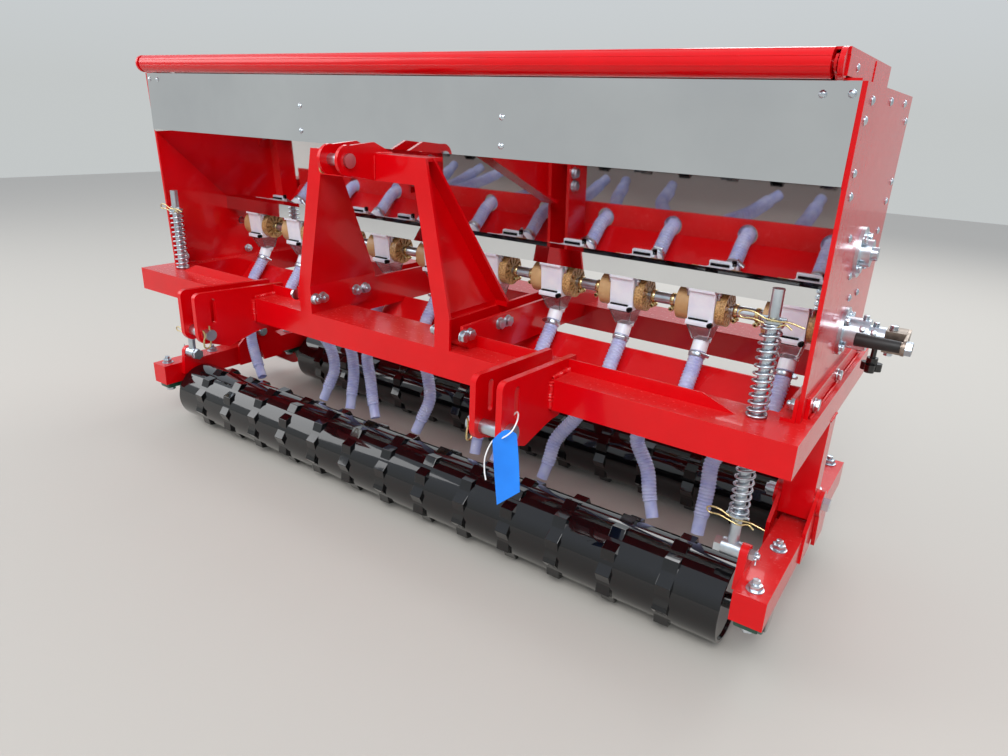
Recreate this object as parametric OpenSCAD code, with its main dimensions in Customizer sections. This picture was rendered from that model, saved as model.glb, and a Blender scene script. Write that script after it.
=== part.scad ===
// Grass seed drill for a tractor's three-point hitch. Millimetres, +Z up.
// The hitch faces -Y and +X is the end with the seed-rate crank.
// The drill stands on its two lugged rollers.

/* [Frame] */
// Width over the side members
frame_w = 1502; // [1482:2:1700]
// Depth from the front beam's face to the rear beam's back
frame_d = 540; // [520:2:600]
// Height of the frame's top above the ground
frame_top = 396; // [386:1:430]
// Side of the square frame tube
tube = 50; // [46:1:56]
// Depth of the front and rear beams
beam_d = 100; // [92:1:104]
// Wall of the brackets and folded parts
plate_t = 6; // [5:0.5:7]

/* [Hopper] */
// Height of the hopper's rim above the ground
rim_z = 825; // [800:5:860]
// Depth of the hopper at its rim
hopper_d = 418; // [400:2:430]
// Height of the upright upper walls
wall_h = 117; // [100:1:130]
// Depth of the trough over the meters
trough_d = 76; // [72:1:84]
// Height of the trough's upright strip
trough_h = 28; // [24:1:32]
// Height of the trough's floor above the ground
trough_z = 521; // [519:1:526]
// Sheet of the hopper
sheet_t = 2.5; // [2:0.5:3]
// Height of the lid above the rim
lid_h = 34; // [30:1:40]
// Depth of the lid behind its rolled edge
lid_d = 304; // [280:2:330]
// Sheet of the lid
lid_t = 3; // [2:0.5:4]

/* [Seed meters] */
// Number of seed meters
meters = 10; // [8:1:10]
// Distance from one meter to the next
meter_pitch = 144.4; // [143:0.2:145]
// Sideways shift of the row of meters towards the crank
meter_shift = 18; // [17:0.5:20]
// Height of the metering shaft above the ground
meter_z = 485; // [482:1:487]
// Radius of the metering shaft
shaft_r = 7; // [6:0.5:8]
// Width of a meter's housing
housing_w = 44; // [40:1:48]
// Radius of the seed drum beside the housing
drum_r = 29; // [26:0.5:30]
// Radius of the fluted disc beside the housing
disc_r = 29; // [26:0.5:30]
// Outer radius of a seed hose
hose_r = 13.5; // [12:0.5:14]

/* [Agitator] */
// Height of the agitator shaft above the ground
agitator_z = 605; // [598:1:612]
// Radius of the agitator shaft
agitator_r = 10; // [8:0.5:12]
// Length of the agitator's fingers
finger_l = 42; // [30:1:44]

/* [Rollers] */
// Radius of a roller over its lugs
roller_r = 76; // [73:0.5:77]
// Height of a lug
lug_h = 8; // [6:0.5:12]
// Width of a lug along the roller
lug_w = 25; // [22:1:34]
// Distance from one ring of lugs to the next
ring_pitch = 100; // [96:1:104]
// Rings of lugs on a roller
rings = 13; // [9:2:13]
// Lugs in a ring
lugs = 10; // [8:1:11]
// Gap between a roller's end and the lug on its arm
roller_gap = 6; // [5:0.5:20]
// Radius of a roller's shaft
axle_r = 12.5; // [11:0.5:13]
// Distance from the arm's end to the roller's axis
axle_in = 86.5; // [84:0.5:89]

/* [Roller arms] */
// Distance from the arm pivots to each arm's free end
arm_l = 272; // [266:1:278]
// Height of the arm's underside above the roller's axis
block_h = 32; // [31.5:0.5:36]
// Height of the arm pivots above the ground
pivot_z = 192; // [188:1:196]
// Radius of the pivot bolts
pivot_r = 8; // [7:0.5:9]
// Radius of a spring rod
rod_r = 8; // [7:0.5:8.5]
// Distance from the frame's end to the spring rods
rod_in = 62; // [58:1:66]
// Radius of a spring's centre line
spring_r = 13; // [12:0.5:14]
// Radius of the spring wire
wire_r = 2; // [1.5:0.25:2.25]
// Height of a spring rod above the frame
rod_h = 181; // [176:1:190]
// Length of the springs above the frame
upper_l = 134; // [126:1:140]
// Length of the springs below the frame
lower_l = 100; // [90:1:104]

/* [Hitch] */
// Distance between the centres of the lower hitch points
hitch_w = 718; // [680:2:760]
// Gap between the two plates of a lower hitch point
clevis_gap = 36; // [34:1:44]
// Thickness of a hitch plate
hitch_t = 10; // [8:1:12]
// Distance from the frame's face forward to the lower pins
pin_out = 112; // [100:1:118]
// Height of the lower pins above the ground
lower_z = 344; // [340:1:350]
// Radius of the lower pins
lower_r = 11; // [10:0.5:11.5]
// Height of the mast's top above the frame
mast_h = 307; // [290:1:330]
// Half width of the mast at its foot
mast_foot = 154; // [148:1:160]
// Half width of the mast at its top
mast_top = 110; // [104:1:120]
// Height of the rails above the frame
rail_h = 44; // [38:1:48]
// Distance from the frame's face forward to the top pin
top_out = 58; // [50:1:60]
// Radius of the top pin
top_r = 9.5; // [9:0.5:12]

/* [Hidden] */

$fn = 48;
eps = 0.01;
seat = 0.3;
play = 0.05;
frame_x = frame_w / 2;
frame_low = frame_top - tube;
side_in = frame_x - tube;
mid_y = frame_d / 2;
arm_t = 48;
arm_x = frame_x - tube / 2 + 4;
ear_t = plate_t;
axle_z = roller_r;
arm_low = axle_z + block_h;
arm_top = arm_low + arm_t;
arm_front = mid_y - arm_l;
arm_rear = mid_y + arm_l;
front_axle = arm_front + axle_in;
rear_axle = arm_rear - axle_in;
leg_low = arm_top + 12;
leg_d = tube;
pin_wall = 20;
hitch_tip = pin_out + pin_wall;
hitch_in = hitch_w / 2 - clevis_gap / 2 - hitch_t;
hitch_out = hitch_w / 2 + clevis_gap / 2 + hitch_t;
side_reach = frame_x + 79;
y_shift = -(arm_rear - hitch_tip) / 2;

// Puts a part drawn from the front beam's face about the drill's own origin
module place() { translate([0, y_shift, 0]) children(); }
// Makes a part and its mirror image at the other end of the drill
module both_ends() { for (side = [-1, 1]) scale_x(side) children(); }
module scale_x(side) { if (side > 0) children(); else mirror([1, 0, 0]) children(); }
// Makes a part and its mirror image at the drill's back
module front_and_rear() { children(); translate([0, frame_d, 0]) mirror([0, 1, 0]) children(); }
// Block between two opposite corners
module block(low, high) { translate(low) cube(high - low); }
// Cylinder along X between two stations
module rod_x(x0, x1, y, z, r) { translate([x0, y, z]) rotate([0, 90, 0]) cylinder(h = x1 - x0, r = r); }
// Outline drawn in Y and Z, extruded along X between two stations
module slab_x(x0, x1) {
    translate([x0, 0, 0]) rotate([90, 0, 90]) linear_extrude(x1 - x0) children();
}
// Outline drawn in X and Z, extruded along Y between two stations
module slab_y(y0, y1) {
    translate([0, y1, 0]) rotate([90, 0, 0]) linear_extrude(y1 - y0) children();
}

// Welded frame

rod_x_pos = side_in - 21;

module frame() {
    color("red") place() difference() {
        union() {
            front_and_rear() block([-frame_x, 0, frame_low], [frame_x, beam_d, frame_top]);
            both_ends() {
                block([side_in, beam_d - eps, frame_low], [frame_x, frame_d - beam_d + eps, frame_top]);
                block([side_in, mid_y - leg_d / 2, leg_low], [frame_x, mid_y + leg_d / 2, frame_top]);
            }
        }
        both_ends() {
            front_and_rear()
                translate([rod_x_pos, rod_in, frame_low - 1]) cylinder(h = tube + 2, r = rod_r + 1);
            rod_x(side_in - 1, frame_x + 1, mid_y, pivot_z, pivot_r + play);
        }
    }
}

// Lip and folded sheet that guide the hoses

guide_t = 2.5;
guide_x = side_in;
guide_top_y = mid_y + 2;
guide_top_z = frame_top - 16;
guide_run = 44;
guide_foot = 44;
hole_y = guide_top_y - guide_run - 16;
hole_z = guide_top_z - guide_run;
lip_h = 20;
lip_y = beam_d / 2;

module hose_guide() {
    lip_x = side_in - 46;
    lip_cut = 50;
    fold = guide_t * 1.4;
    color("red") place() {
        both_ends() {
            block([rail_x + rail_w, lip_y, frame_top],
                [hitch_in - seat, lip_y + guide_t, frame_top + lip_h]);
            slab_y(lip_y, lip_y + guide_t) polygon([[hitch_out + seat, frame_top], [lip_x, frame_top],
                [lip_x - lip_cut, frame_top + lip_h], [hitch_out + seat, frame_top + lip_h]]);
        }
        difference() {
            slab_x(-guide_x, guide_x) polygon([[guide_top_y, guide_top_z],
                [guide_top_y - guide_run, hole_z], [guide_top_y - guide_run - guide_foot, hole_z],
                [guide_top_y - guide_run - guide_foot, hole_z - guide_t],
                [guide_top_y - guide_run + guide_t, hole_z - guide_t],
                [guide_top_y + fold, guide_top_z]]);
            for (i = [0 : meters - 1])
                translate([hose_x(i), hole_y, hole_z - 20]) cylinder(h = 40, r = hose_r + 5);
            both_ends() block([rail_x - seat, hole_y + 20, rail_low - seat],
                [rail_x + rail_w + seat, guide_top_y + 10, rail_top]);
        }
    }
}

// Two rails that carry the mast, along the top of the frame

rail_x = mast_foot + plate_t;
rail_top = frame_top + rail_h;
rail_front = 12;
rail_rear = frame_d - 40;
rail_low = frame_top - 24;
rail_w = 46;
rail_wall = 6;

module rail_outline(grow) {
    cut = 20;
    polygon([[rail_front - grow, frame_top + cut], [rail_front - grow, rail_top],
        [rail_rear + grow, rail_top],
        [rail_rear + grow, frame_top + grow], [frame_d - beam_d - seat - grow, frame_top + grow],
        [frame_d - beam_d - seat - grow, rail_low + grow], [beam_d + seat + grow, rail_low + grow],
        [beam_d + seat + grow, frame_top + grow], [rail_front + cut - grow, frame_top + grow]]);
}

// Channel, open at its top, that hangs between the two beams
module rails() {
    color("red") place() difference() {
        both_ends() difference() {
            slab_x(rail_x, rail_x + rail_w) rail_outline(0);
            translate([0, 0, eps]) slab_x(rail_x + rail_wall, rail_x + rail_w - rail_wall)
                rail_outline(rail_wall);
        }
        block([-rail_x - rail_w - 1, hole_y - hose_r - 8, rail_low - 1],
            [-rail_x - rail_wall, shaft_y + 36, rail_top + 1]);
    }
}

// Mast of two folded posts and a box across their tops

mast_z = frame_top + mast_h;
cross_h = 43;
cross_d = 44;
bend_z = frame_top + 54;
post_w = 32;
post_foot_d = 174;
post_top_d = 24;
ear_gap = 34;
ear_r = 24;

// Outline of a post from the side, or of its rear flange alone
module post_side(flange) {
    front_top = flange ? post_top_d - plate_t : 0;
    front_low = flange ? post_foot_d - plate_t : 0;
    low_z = flange ? rail_top + seat : frame_top;
    polygon([[front_low, low_z], flange ? [front_low, bend_z] : [0, bend_z], [front_top, mast_z],
        [post_top_d, mast_z], [post_foot_d, bend_z], [post_foot_d, low_z]]);
}

// Half width between the posts at the mast's very top
in_top = mast_top - (mast_foot - mast_top) * cross_h / (mast_z - cross_h - bend_z);

// Outline of a post from the front, which leans in above the rails
module post_front(width) {
    polygon([[mast_foot, frame_top], [mast_foot, bend_z], [in_top, mast_z], [in_top + width, mast_z],
        [mast_foot + width, bend_z], [mast_foot + width, frame_top]]);
}

// Folded post: a web between a front flange and a rear flange, both turned outwards
module mast_post() {
    slab_y(0, plate_t) post_front(post_w);
    intersection() {
        slab_x(0, frame_x) post_side(false);
        slab_y(0, post_foot_d) post_front(plate_t);
    }
    intersection() {
        slab_x(0, frame_x) post_side(true);
        slab_y(0, post_foot_d + 1) post_front(post_w);
    }
}

module mast() {
    ear_low = mast_z - cross_h;
    pin_z = mast_z - top_drop;
    color("red") place() difference() {
        union() {
            both_ends() mast_post();
            block([-mast_top - 4, 0, ear_low], [mast_top + 4, plate_t, mast_z]);
            block([-in_top - post_w + 1, 0, mast_z - plate_t], [in_top + post_w - 1, cross_d, mast_z]);
            both_ends() slab_x(ear_gap / 2, ear_gap / 2 + plate_t) union() {
                translate([-top_out, pin_z]) circle(r = ear_r);
                polygon([[-top_out + 4, pin_z - ear_r + 0.4], [eps, ear_low], [eps, mast_z + 18],
                    [-top_out - 9, pin_z + ear_r - 2]]);
                polygon([[-eps, mast_z - eps], [cross_d, mast_z - eps], [0, mast_z + 18]]);
            }
        }
        rod_x(-60, 60, -top_out, pin_z, top_r + play);
    }
}

top_drop = 10;

module top_pin() {
    reach = ear_gap / 2 + plate_t;
    color("silver") place() {
        rod_x(-reach - 14, reach + 1, -top_out, mast_z - top_drop, top_r);
        rod_x(reach + seat, reach + 5, -top_out, mast_z - top_drop, top_r + 2);
    }
}

// Lower hitch points, pairs of slotted plates that wrap the front beam

module lower_hitch_plate() {
    round_r = 12;
    tip_y = round_r - hitch_tip;
    top_rise = 30;
    top_z = frame_top + top_rise;
    slot_y = -94;
    slot_r = 6;
    slot_top = frame_top + 10;
    slot_low = frame_low + 22;
    lobe_r = 20;
    difference() {
        union() {
            polygon([[-hitch_tip, lower_z], [-hitch_tip, top_z - round_r], [tip_y, top_z],
                [beam_d - 24, frame_top + 20], [beam_d - 20, frame_top], [0, frame_top], [0, frame_low],
                [50, frame_low], [44, frame_low - 12], [30, frame_low - lobe_r], [12, frame_low - lobe_r],
                [-10, lower_z - 22], [-66, lower_z - 36], [-hitch_tip + 6, lower_z - 14]]);
            translate([tip_y, top_z - round_r]) circle(r = round_r);
            translate([-pin_out, lower_z]) circle(r = pin_wall);
        }
        translate([-pin_out, lower_z]) circle(r = lower_r + play);
        translate([slot_y, slot_top]) circle(r = slot_r);
        translate([slot_y, slot_low]) circle(r = slot_r);
        translate([slot_y - slot_r, slot_low]) square([2 * slot_r, slot_top - slot_low]);
    }
}

module lower_hitch() {
    color("red") place() both_ends() for (x = [hitch_in, hitch_out - hitch_t])
        slab_x(x, x + hitch_t) lower_hitch_plate();
}

module lower_pins() {
    color("silver") place() both_ends() {
        rod_x(hitch_in - 14, hitch_out + 1, -pin_out, lower_z, lower_r);
        rod_x(hitch_out + seat, hitch_out + 8, -pin_out, lower_z, lower_r + 5);
    }
}

// Side plates that hold the hopper, with the angles at their feet

plate_x = frame_x - 16;
plate_front = mid_y - hopper_d / 2 - 3;
plate_rear = mid_y + hopper_d / 2 + 3;
shaft_y = mid_y;

module side_plates() {
    foot_h = 30;
    foot_y = plate_front + 18;
    foot_t = 5;
    lug_r = 17;
    color("red") place() both_ends() difference() {
        union() {
            slab_x(plate_x - plate_t, plate_x) polygon([[foot_y, frame_top], [plate_front + 4, rim_z],
                [plate_rear, rim_z], [plate_rear, frame_top]]);
            slab_x(plate_x - eps, plate_x + foot_t) {
                polygon([[foot_y + 22, frame_top], [foot_y + 22, frame_top + foot_h],
                    [plate_rear, frame_top + foot_h], [plate_rear, frame_top]]);
                translate([plate_rear, frame_top + lug_r + 2]) circle(r = lug_r);
            }
            block([plate_x - plate_t - foot_t, foot_y - 4, frame_top],
                [plate_x - plate_t + eps, foot_y + 44, frame_top + foot_h + 4]);
            block([plate_x - plate_t - 20, foot_y - 4, frame_top],
                [plate_x - plate_t + eps, foot_y + 44, frame_top + foot_t]);
        }
        rod_x(plate_x - plate_t - 1, plate_x + 6, shaft_y, meter_z, shaft_r + 2);
        rod_x(plate_x - plate_t - 1, plate_x + 6, shaft_y, agitator_z, agitator_r + 2);
    }
}

// Stainless hopper, open at its rim

hopper_x = plate_x - plate_t;

// Half of the hopper's section on one side of its middle, grown outward by a thickness
function hopper_half(t) = let (wide = hopper_d / 2 - sheet_t + t, slope_z = rim_z - wall_h)
    [[wide, rim_z], [wide, slope_z], [trough_d / 2 - sheet_t + t, trough_z + trough_h],
    [trough_d / 2 - sheet_t + t, trough_z - t]];

module hopper_section(t) {
    half = hopper_half(t);
    polygon([for (p = half) [shaft_y + p[0], p[1]],
        for (i = [3 : -1 : 0]) [shaft_y - half[i][0], half[i][1]]]);
}

module hopper() {
    rim_in = 18;
    outlet = 26;
    color("gainsboro") place() difference() {
        slab_x(-hopper_x, hopper_x) hopper_section(sheet_t);
        difference() {
            slab_x(sheet_t - hopper_x, hopper_x - sheet_t) hopper_section(0);
            difference() {
                block([-hopper_x, shaft_y - hopper_d / 2, rim_z - sheet_t],
                    [hopper_x, shaft_y + hopper_d / 2, rim_z + eps]);
                block([rim_in + sheet_t - hopper_x, shaft_y - hopper_d / 2 + rim_in, rim_z - sheet_t - 1],
                    [hopper_x - rim_in - sheet_t, lid_rear - rim_in, rim_z + 1]);
            }
        }
        for (i = [0 : meters - 1])
            block([meter_x(i) - outlet / 2, shaft_y - outlet / 2, trough_z - sheet_t - 1],
                [meter_x(i) + outlet / 2, shaft_y + outlet / 2, trough_z + 1]);
        rod_x(-hopper_x - 1, hopper_x + 1, shaft_y, agitator_z, agitator_r + 2);
    }
}

// Lid with a rolled front edge, which turns on two pins

lid_x = frame_x - 37;
roll_r = lid_h / 2;
roll_y = plate_front - 12;
roll_z = rim_z + roll_r + seat;
hinge_r = 5;
lid_rear = roll_y + lid_d;
hinge_t = 3;
hinge_x = lid_x - 14;
base_rear = plate_front + 46;

// Bent brackets on the rim's front corners, whose ears carry the lid's pins
module lid_hinges() {
    base_front = mid_y - hopper_d / 2;
    color("red") place() both_ends() {
        block([hinge_x, base_front, rim_z], [hopper_x - seat, base_rear, rim_z + hinge_t]);
        slab_x(hinge_x, hinge_x + hinge_t) {
            translate([roll_y, roll_z]) circle(r = 2 * hinge_r);
            polygon([[roll_y, roll_z - 2 * hinge_r], [base_front, rim_z], [base_rear, rim_z],
                [roll_y, roll_z + 2 * hinge_r - 0.5]]);
        }
        rod_x(hinge_x - 30, hinge_x + hinge_t + 2, roll_y, roll_z, hinge_r);
    }
}

module lid() {
    lid_low = rim_z + seat;
    lid_high = roll_z + roll_r;
    roll_x = hinge_x - 2;
    corner = base_rear + 6;
    color("red") place() difference() {
        union() {
            rod_x(-roll_x, roll_x, roll_y, roll_z, roll_r);
            block([-lid_x, roll_y, lid_high - lid_t], [lid_x, lid_rear, lid_high]);
            block([-lid_x, lid_rear - lid_t, lid_low], [lid_x, lid_rear, lid_high]);
            both_ends() slab_x(lid_x - lid_t, lid_x) polygon([[roll_y, lid_high], [roll_y, lid_high - 8],
                [corner, lid_low + 12], [corner + 12, lid_low], [lid_rear, lid_low], [lid_rear, lid_high]]);
        }
        rod_x(-roll_x - 1, roll_x + 1, roll_y, roll_z, hinge_r + play);
        rod_x(lid_t - roll_x, roll_x - lid_t, roll_y, roll_z, roll_r - lid_t);
    }
}

// Row of seed meters under the trough

function meter_x(i) = (i - (meters - 1) / 2) * meter_pitch + meter_shift;
housing_top = trough_z - sheet_t;
housing_low = meter_z - 28;
funnel_low = housing_low - 29;
housing_d = 66;
spout_tilt = 28;
spout_len = 24;
spout_end_y = shaft_y - spout_len * sin(spout_tilt);
spout_end_z = funnel_low - spout_len * cos(spout_tilt);

module each_meter() { for (i = [0 : meters - 1]) translate([meter_x(i), 0, 0]) children(); }

module meter_housings() {
    cap_t = 4;
    front = shaft_y - housing_d / 2;
    rear = shaft_y + housing_d / 2;
    color("white") place() each_meter() difference() {
        union() {
            slab_x(-housing_w / 2, housing_w / 2) polygon([[front, housing_top],
                [front + 6, housing_low + 8],
                [front - 2, housing_low + 8], [front - 2, housing_low], [rear - 10, housing_low],
                [rear, housing_top]]);
            block([-housing_w / 2, shaft_y - trough_d / 2, housing_top - cap_t],
                [housing_w / 2, shaft_y + trough_d / 2, housing_top]);
        }
        rod_x(-housing_w, housing_w, shaft_y, meter_z, shaft_r + 1);
        block([3 - housing_w / 2, shaft_y - 20, housing_low - 1],
            [housing_w / 2 - 3, shaft_y + 20, meter_z - 14]);
    }
}

// Square funnel, wide at the top and narrow at the spout
module funnel_form(grow, low, high) {
    intersection() {
        slab_x(-60, 60) polygon([[shaft_y - 28 - grow, high], [shaft_y - 12 - grow, low],
            [shaft_y + 12 + grow, low], [shaft_y + 16 + grow, high]]);
        slab_y(shaft_y - 60, shaft_y + 60) polygon([[-20 - grow, high], [-12 - grow, low],
            [12 + grow, low], [20 + grow, high]]);
    }
}

module meter_funnels() {
    color("lightgray") place() each_meter() difference() {
        funnel_form(2, funnel_low, housing_low);
        funnel_form(0, funnel_low - eps, housing_low + eps);
    }
}

module meter_spouts() {
    color("white") place() each_meter()
        translate([0, shaft_y, funnel_low]) rotate([-spout_tilt, 0, 0]) difference() {
            union() {
                translate([0, 0, -spout_len]) cylinder(h = spout_len, r = hose_r);
                translate([0, 0, -4]) cylinder(h = 10, r = hose_r + 2);
            }
            translate([0, 0, -spout_len - 1]) cylinder(h = spout_len + 10, r = hose_r - 3);
            rotate([spout_tilt, 0, 0]) translate([-30, -30, 0]) cube([60, 60, 30]);
        }
}

// Metering shaft with its couplers, drums and discs

module metering_shaft() {
    color("silver") place() rod_x(-side_reach + 16, crank_x + 6, shaft_y, meter_z, shaft_r);
}

drum_l = 23;
disc_l = 16;
run_gap = 1;

module shaft_couplers() {
    length = meter_pitch - housing_w - drum_l - disc_l - 6 * run_gap - 8;
    start = housing_w / 2 + disc_l + 2 * run_gap + 4;
    color("silver") place() for (i = [0 : meters - 2]) difference() {
        rod_x(meter_x(i) + start, meter_x(i) + start + length, shaft_y, meter_z, shaft_r + 3);
        rod_x(meter_x(i) + start - 1, meter_x(i) + start + length + 1, shaft_y, meter_z, shaft_r);
    }
}

module meter_drums() {
    start = -housing_w / 2 - run_gap - drum_l;
    color("goldenrod") place() each_meter() difference() {
        rod_x(start, start + drum_l, shaft_y, meter_z, drum_r);
        rod_x(start - 1, start + drum_l + 1, shaft_y, meter_z, shaft_r);
    }
}

module meter_discs() {
    start = housing_w / 2 + run_gap;
    flutes = 12;
    color("peru") place() each_meter() difference() {
        rod_x(start, start + disc_l, shaft_y, meter_z, disc_r);
        rod_x(start - 1, start + disc_l + 1, shaft_y, meter_z, shaft_r);
        for (k = [0 : flutes - 1]) translate([start + disc_l - 4, shaft_y, meter_z])
            rotate([360 / flutes * k, 0, 0]) translate([0, -2, shaft_r + 6])
                cube([5, 4, disc_r - shaft_r - 9]);
    }
}

// Agitator shaft with fingers, in the hopper

module agitator() {
    fingers = 19;
    reach = hopper_x - 40;
    step = 2 * reach / (fingers - 1);
    color("silver") place() {
        rod_x(-side_reach + 16, plate_x + 26, shaft_y, agitator_z, agitator_r);
        for (i = [0 : fingers - 1]) translate([i * step - reach, shaft_y, agitator_z])
            rotate([i % 2 * 90, 0, 0]) cylinder(h = finger_l, r = 4);
    }
}

// Zinc flanges that carry the shafts on the side plates

flange_r = 37;
flange_t = 5;

module shaft_flange(z, r) {
    difference() {
        union() {
            rod_x(plate_x + eps, plate_x + flange_t, shaft_y, z, flange_r);
            rod_x(plate_x + eps, plate_x + 18, shaft_y, z, 20);
        }
        rod_x(plate_x - 1, plate_x + 19, shaft_y, z, r + play);
    }
}

module shaft_flanges() {
    color("silver") place() {
        both_ends() shaft_flange(agitator_z, agitator_r);
        mirror([1, 0, 0]) shaft_flange(meter_z, shaft_r);
    }
}

// Seed-rate adjuster on the crank end of the metering shaft

step_l = 38;
hub_l = 60;
neck_r = 16;

module rate_hub() {
    color("silver") place() difference() {
        union() {
            rod_x(plate_x + eps, plate_x + flange_t, shaft_y, meter_z, flange_r);
            rod_x(plate_x + eps, plate_x + step_l, shaft_y, meter_z, 24);
            rod_x(plate_x + step_l - eps, plate_x + hub_l, shaft_y, meter_z, neck_r);
        }
        rod_x(plate_x - 1, plate_x + hub_l + 1, shaft_y, meter_z, shaft_r + play);
    }
}

crank_x = plate_x + hub_l + seat;

// Folded block on the hub's end, with an arm that carries the grip beside the hub
module rate_crank() {
    grip_y = shaft_y - 36;
    arm_in = side_reach - 8;
    arm_out = side_reach - 4;
    color("dimgray") place() {
        difference() {
            block([crank_x, shaft_y - 20, meter_z - neck_r],
                [arm_in + eps, shaft_y + neck_r, meter_z + neck_r]);
            rod_x(crank_x - 1, crank_x + 6 + seat, shaft_y, meter_z, shaft_r + 1);
        }
        slab_x(arm_in, arm_out) {
            translate([grip_y, meter_z]) circle(r = 12);
            polygon([[grip_y + 2, meter_z - 11], [shaft_y + neck_r, meter_z - neck_r],
                [shaft_y + neck_r, meter_z + neck_r], [grip_y + 2, meter_z + 11]]);
        }
        translate([arm_in + eps, grip_y, meter_z]) rotate([0, -90, 0]) cylinder(h = 62, r1 = 8, r2 = 9.5);
        rod_x(arm_out - eps, side_reach + 5, grip_y, meter_z, 8, $fn = 6);
    }
}

module rate_knob() {
    low_z = meter_z - neck_r - 37;
    color("black") place() translate([plate_x + 50, shaft_y, low_z]) {
        cylinder(h = 37 - seat, r = 4);
        cylinder(h = 21, r = 8);
        for (k = [0 : 2]) rotate(120 * k + 30) translate([9, 0, 0]) cylinder(h = 12, r = 7);
    }
}

// Closed chain case on the far end, from the roller up to the shafts

case_in = frame_x + 26;
case_r = 44;

module case_leg(a, b) {
    run = b - a;
    half = case_r - 0.5;
    translate(a) rotate(atan2(run[1], run[0])) translate([0, -half]) square([norm(run), 2 * half]);
}

module drive_case() {
    points = [[shaft_y, agitator_z], [shaft_y, meter_z], [mid_y, pivot_z], [rear_axle, axle_z]];
    color("red") place() difference() {
        slab_x(-side_reach, -case_in) union() {
            for (p = points) translate(p) circle(r = case_r);
            for (i = [0 : 2]) case_leg(points[i], points[i + 1]);
        }
        rod_x(-side_reach + 12, -case_in + 1, shaft_y, agitator_z, agitator_r + 2);
        rod_x(-side_reach + 12, -case_in + 1, shaft_y, meter_z, shaft_r + 2);
        rod_x(-side_reach + 12, -case_in + 1, rear_axle, axle_z, axle_r + 2);
    }
}

module drive_mounts() {
    color("red") place() {
        for (z = [meter_z + 60, meter_z - 48])
            block([-case_in, shaft_y - 20, z - 10], [-plate_x, shaft_y + 20, z + 10]);
    }
}

// Roller arms, hung from the legs

module arm_pair(ear_in) {
    both_ends() difference() {
        union() {
            block([arm_x - arm_t / 2, arm_front, arm_low], [arm_x + arm_t / 2, mid_y - 6, arm_top]);
            for (side = [-1, 1]) {
                wall = side > 0 ? frame_x + seat + ear_in : side_in - seat - ear_in - ear_t;
                slab_x(wall, wall + ear_t) union() {
                    polygon([[mid_y - ear_l, arm_low], [mid_y - ear_l, arm_top + 8],
                        [mid_y - 20, pivot_z + 10],
                        [mid_y + 14, pivot_z], [mid_y - 6, arm_low]]);
                    translate([mid_y, pivot_z]) circle(r = 22);
                }
                pad = side > 0 ? [arm_x, wall + ear_t - eps] : [wall + eps, arm_x];
                block([pad[0], mid_y - ear_l + eps, arm_low + 4], [pad[1], mid_y - 16, arm_top - 8]);
            }
            slab_x(boss_lug_x, arm_x - arm_t / 2 + eps) union() {
                polygon([[rod_in - 20, arm_low + 20], [rod_in - 14, boss_z], [rod_in + 14, boss_z],
                    [rod_in + 30, arm_top], [rod_in + 44, arm_low + 20]]);
                translate([rod_in, boss_z]) circle(r = 14);
            }
        }
        rod_x(side_in - 40, frame_x + 40, mid_y, pivot_z, pivot_r + play);
        rod_x(boss_lug_x - 1, boss_lug_x + 20, rod_in, boss_z, boss_bolt_r + play);
        for (y = block_bolts) translate([arm_x, y, arm_low - 1]) cylinder(h = arm_t + 2, r = 6);
    }
}

ear_l = 66;
block_bolts = [front_axle - 62.5, front_axle + 62.5];
boss_z = arm_top + 27;
boss_r = 13;
boss_bolt_r = 5;
boss_lug_x = arm_x - arm_t / 2 - 12;

module front_arms() { color("red") place() arm_pair(0); }
module rear_arms() {
    color("red") place() translate([0, frame_d, 0]) mirror([0, 1, 0]) arm_pair(ear_t + seat);
}

module arm_pivots() {
    inner = side_in - 2 * (ear_t + seat) - 1;
    outer = frame_x + 2 * (ear_t + seat) + 1;
    color("silver") place() both_ends() {
        rod_x(inner - 16, outer + 1, mid_y, pivot_z, pivot_r);
        rod_x(outer - 1 + seat, outer + 9, mid_y, pivot_z, 12, $fn = 6);
        difference() {
            rod_x(inner - 12, inner + 1 - seat, mid_y, pivot_z, 12);
            rod_x(inner - 13, inner + 2, mid_y, pivot_z, pivot_r - eps);
        }
    }
}

module boss_bolts() {
    inner = rod_x_pos - 15;
    outer = arm_x - arm_t / 2;
    color("silver") place() both_ends() front_and_rear() {
        rod_x(inner - 1, outer + 6, rod_in, boss_z, boss_bolt_r);
        rod_x(inner - 10, inner - seat, rod_in, boss_z, boss_r, $fn = 6);
        rod_x(outer + seat, outer + 8, rod_in, boss_z, 9, $fn = 6);
    }
}

// Cast bearing blocks under the arms' ends

module bearing_blocks() {
    color("darkgreen") place() both_ends() front_and_rear() difference() {
        union() {
            block([arm_x - 18, block_bolts[0] - 16, arm_low - 14],
                [arm_x + 18, block_bolts[1] + 16, arm_low]);
            rod_x(arm_x - 18, arm_x + 27, front_axle, axle_z, 30);
            block([arm_x - 15, front_axle - 32, axle_z], [arm_x + 15, front_axle + 32, arm_low - 10]);
        }
        rod_x(arm_x - 20, arm_x + 30, front_axle, axle_z, axle_r + play);
        for (y = block_bolts) translate([arm_x, y, arm_low - 20]) cylinder(h = 30, r = 6);
    }
}

// Spring rods with their bosses, and the springs above and below the frame

rod_top = frame_top + rod_h;
upper_top = frame_top + upper_l;
lower_end = frame_low - lower_l;
washer_t = 3;
clip_r = 2;

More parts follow.
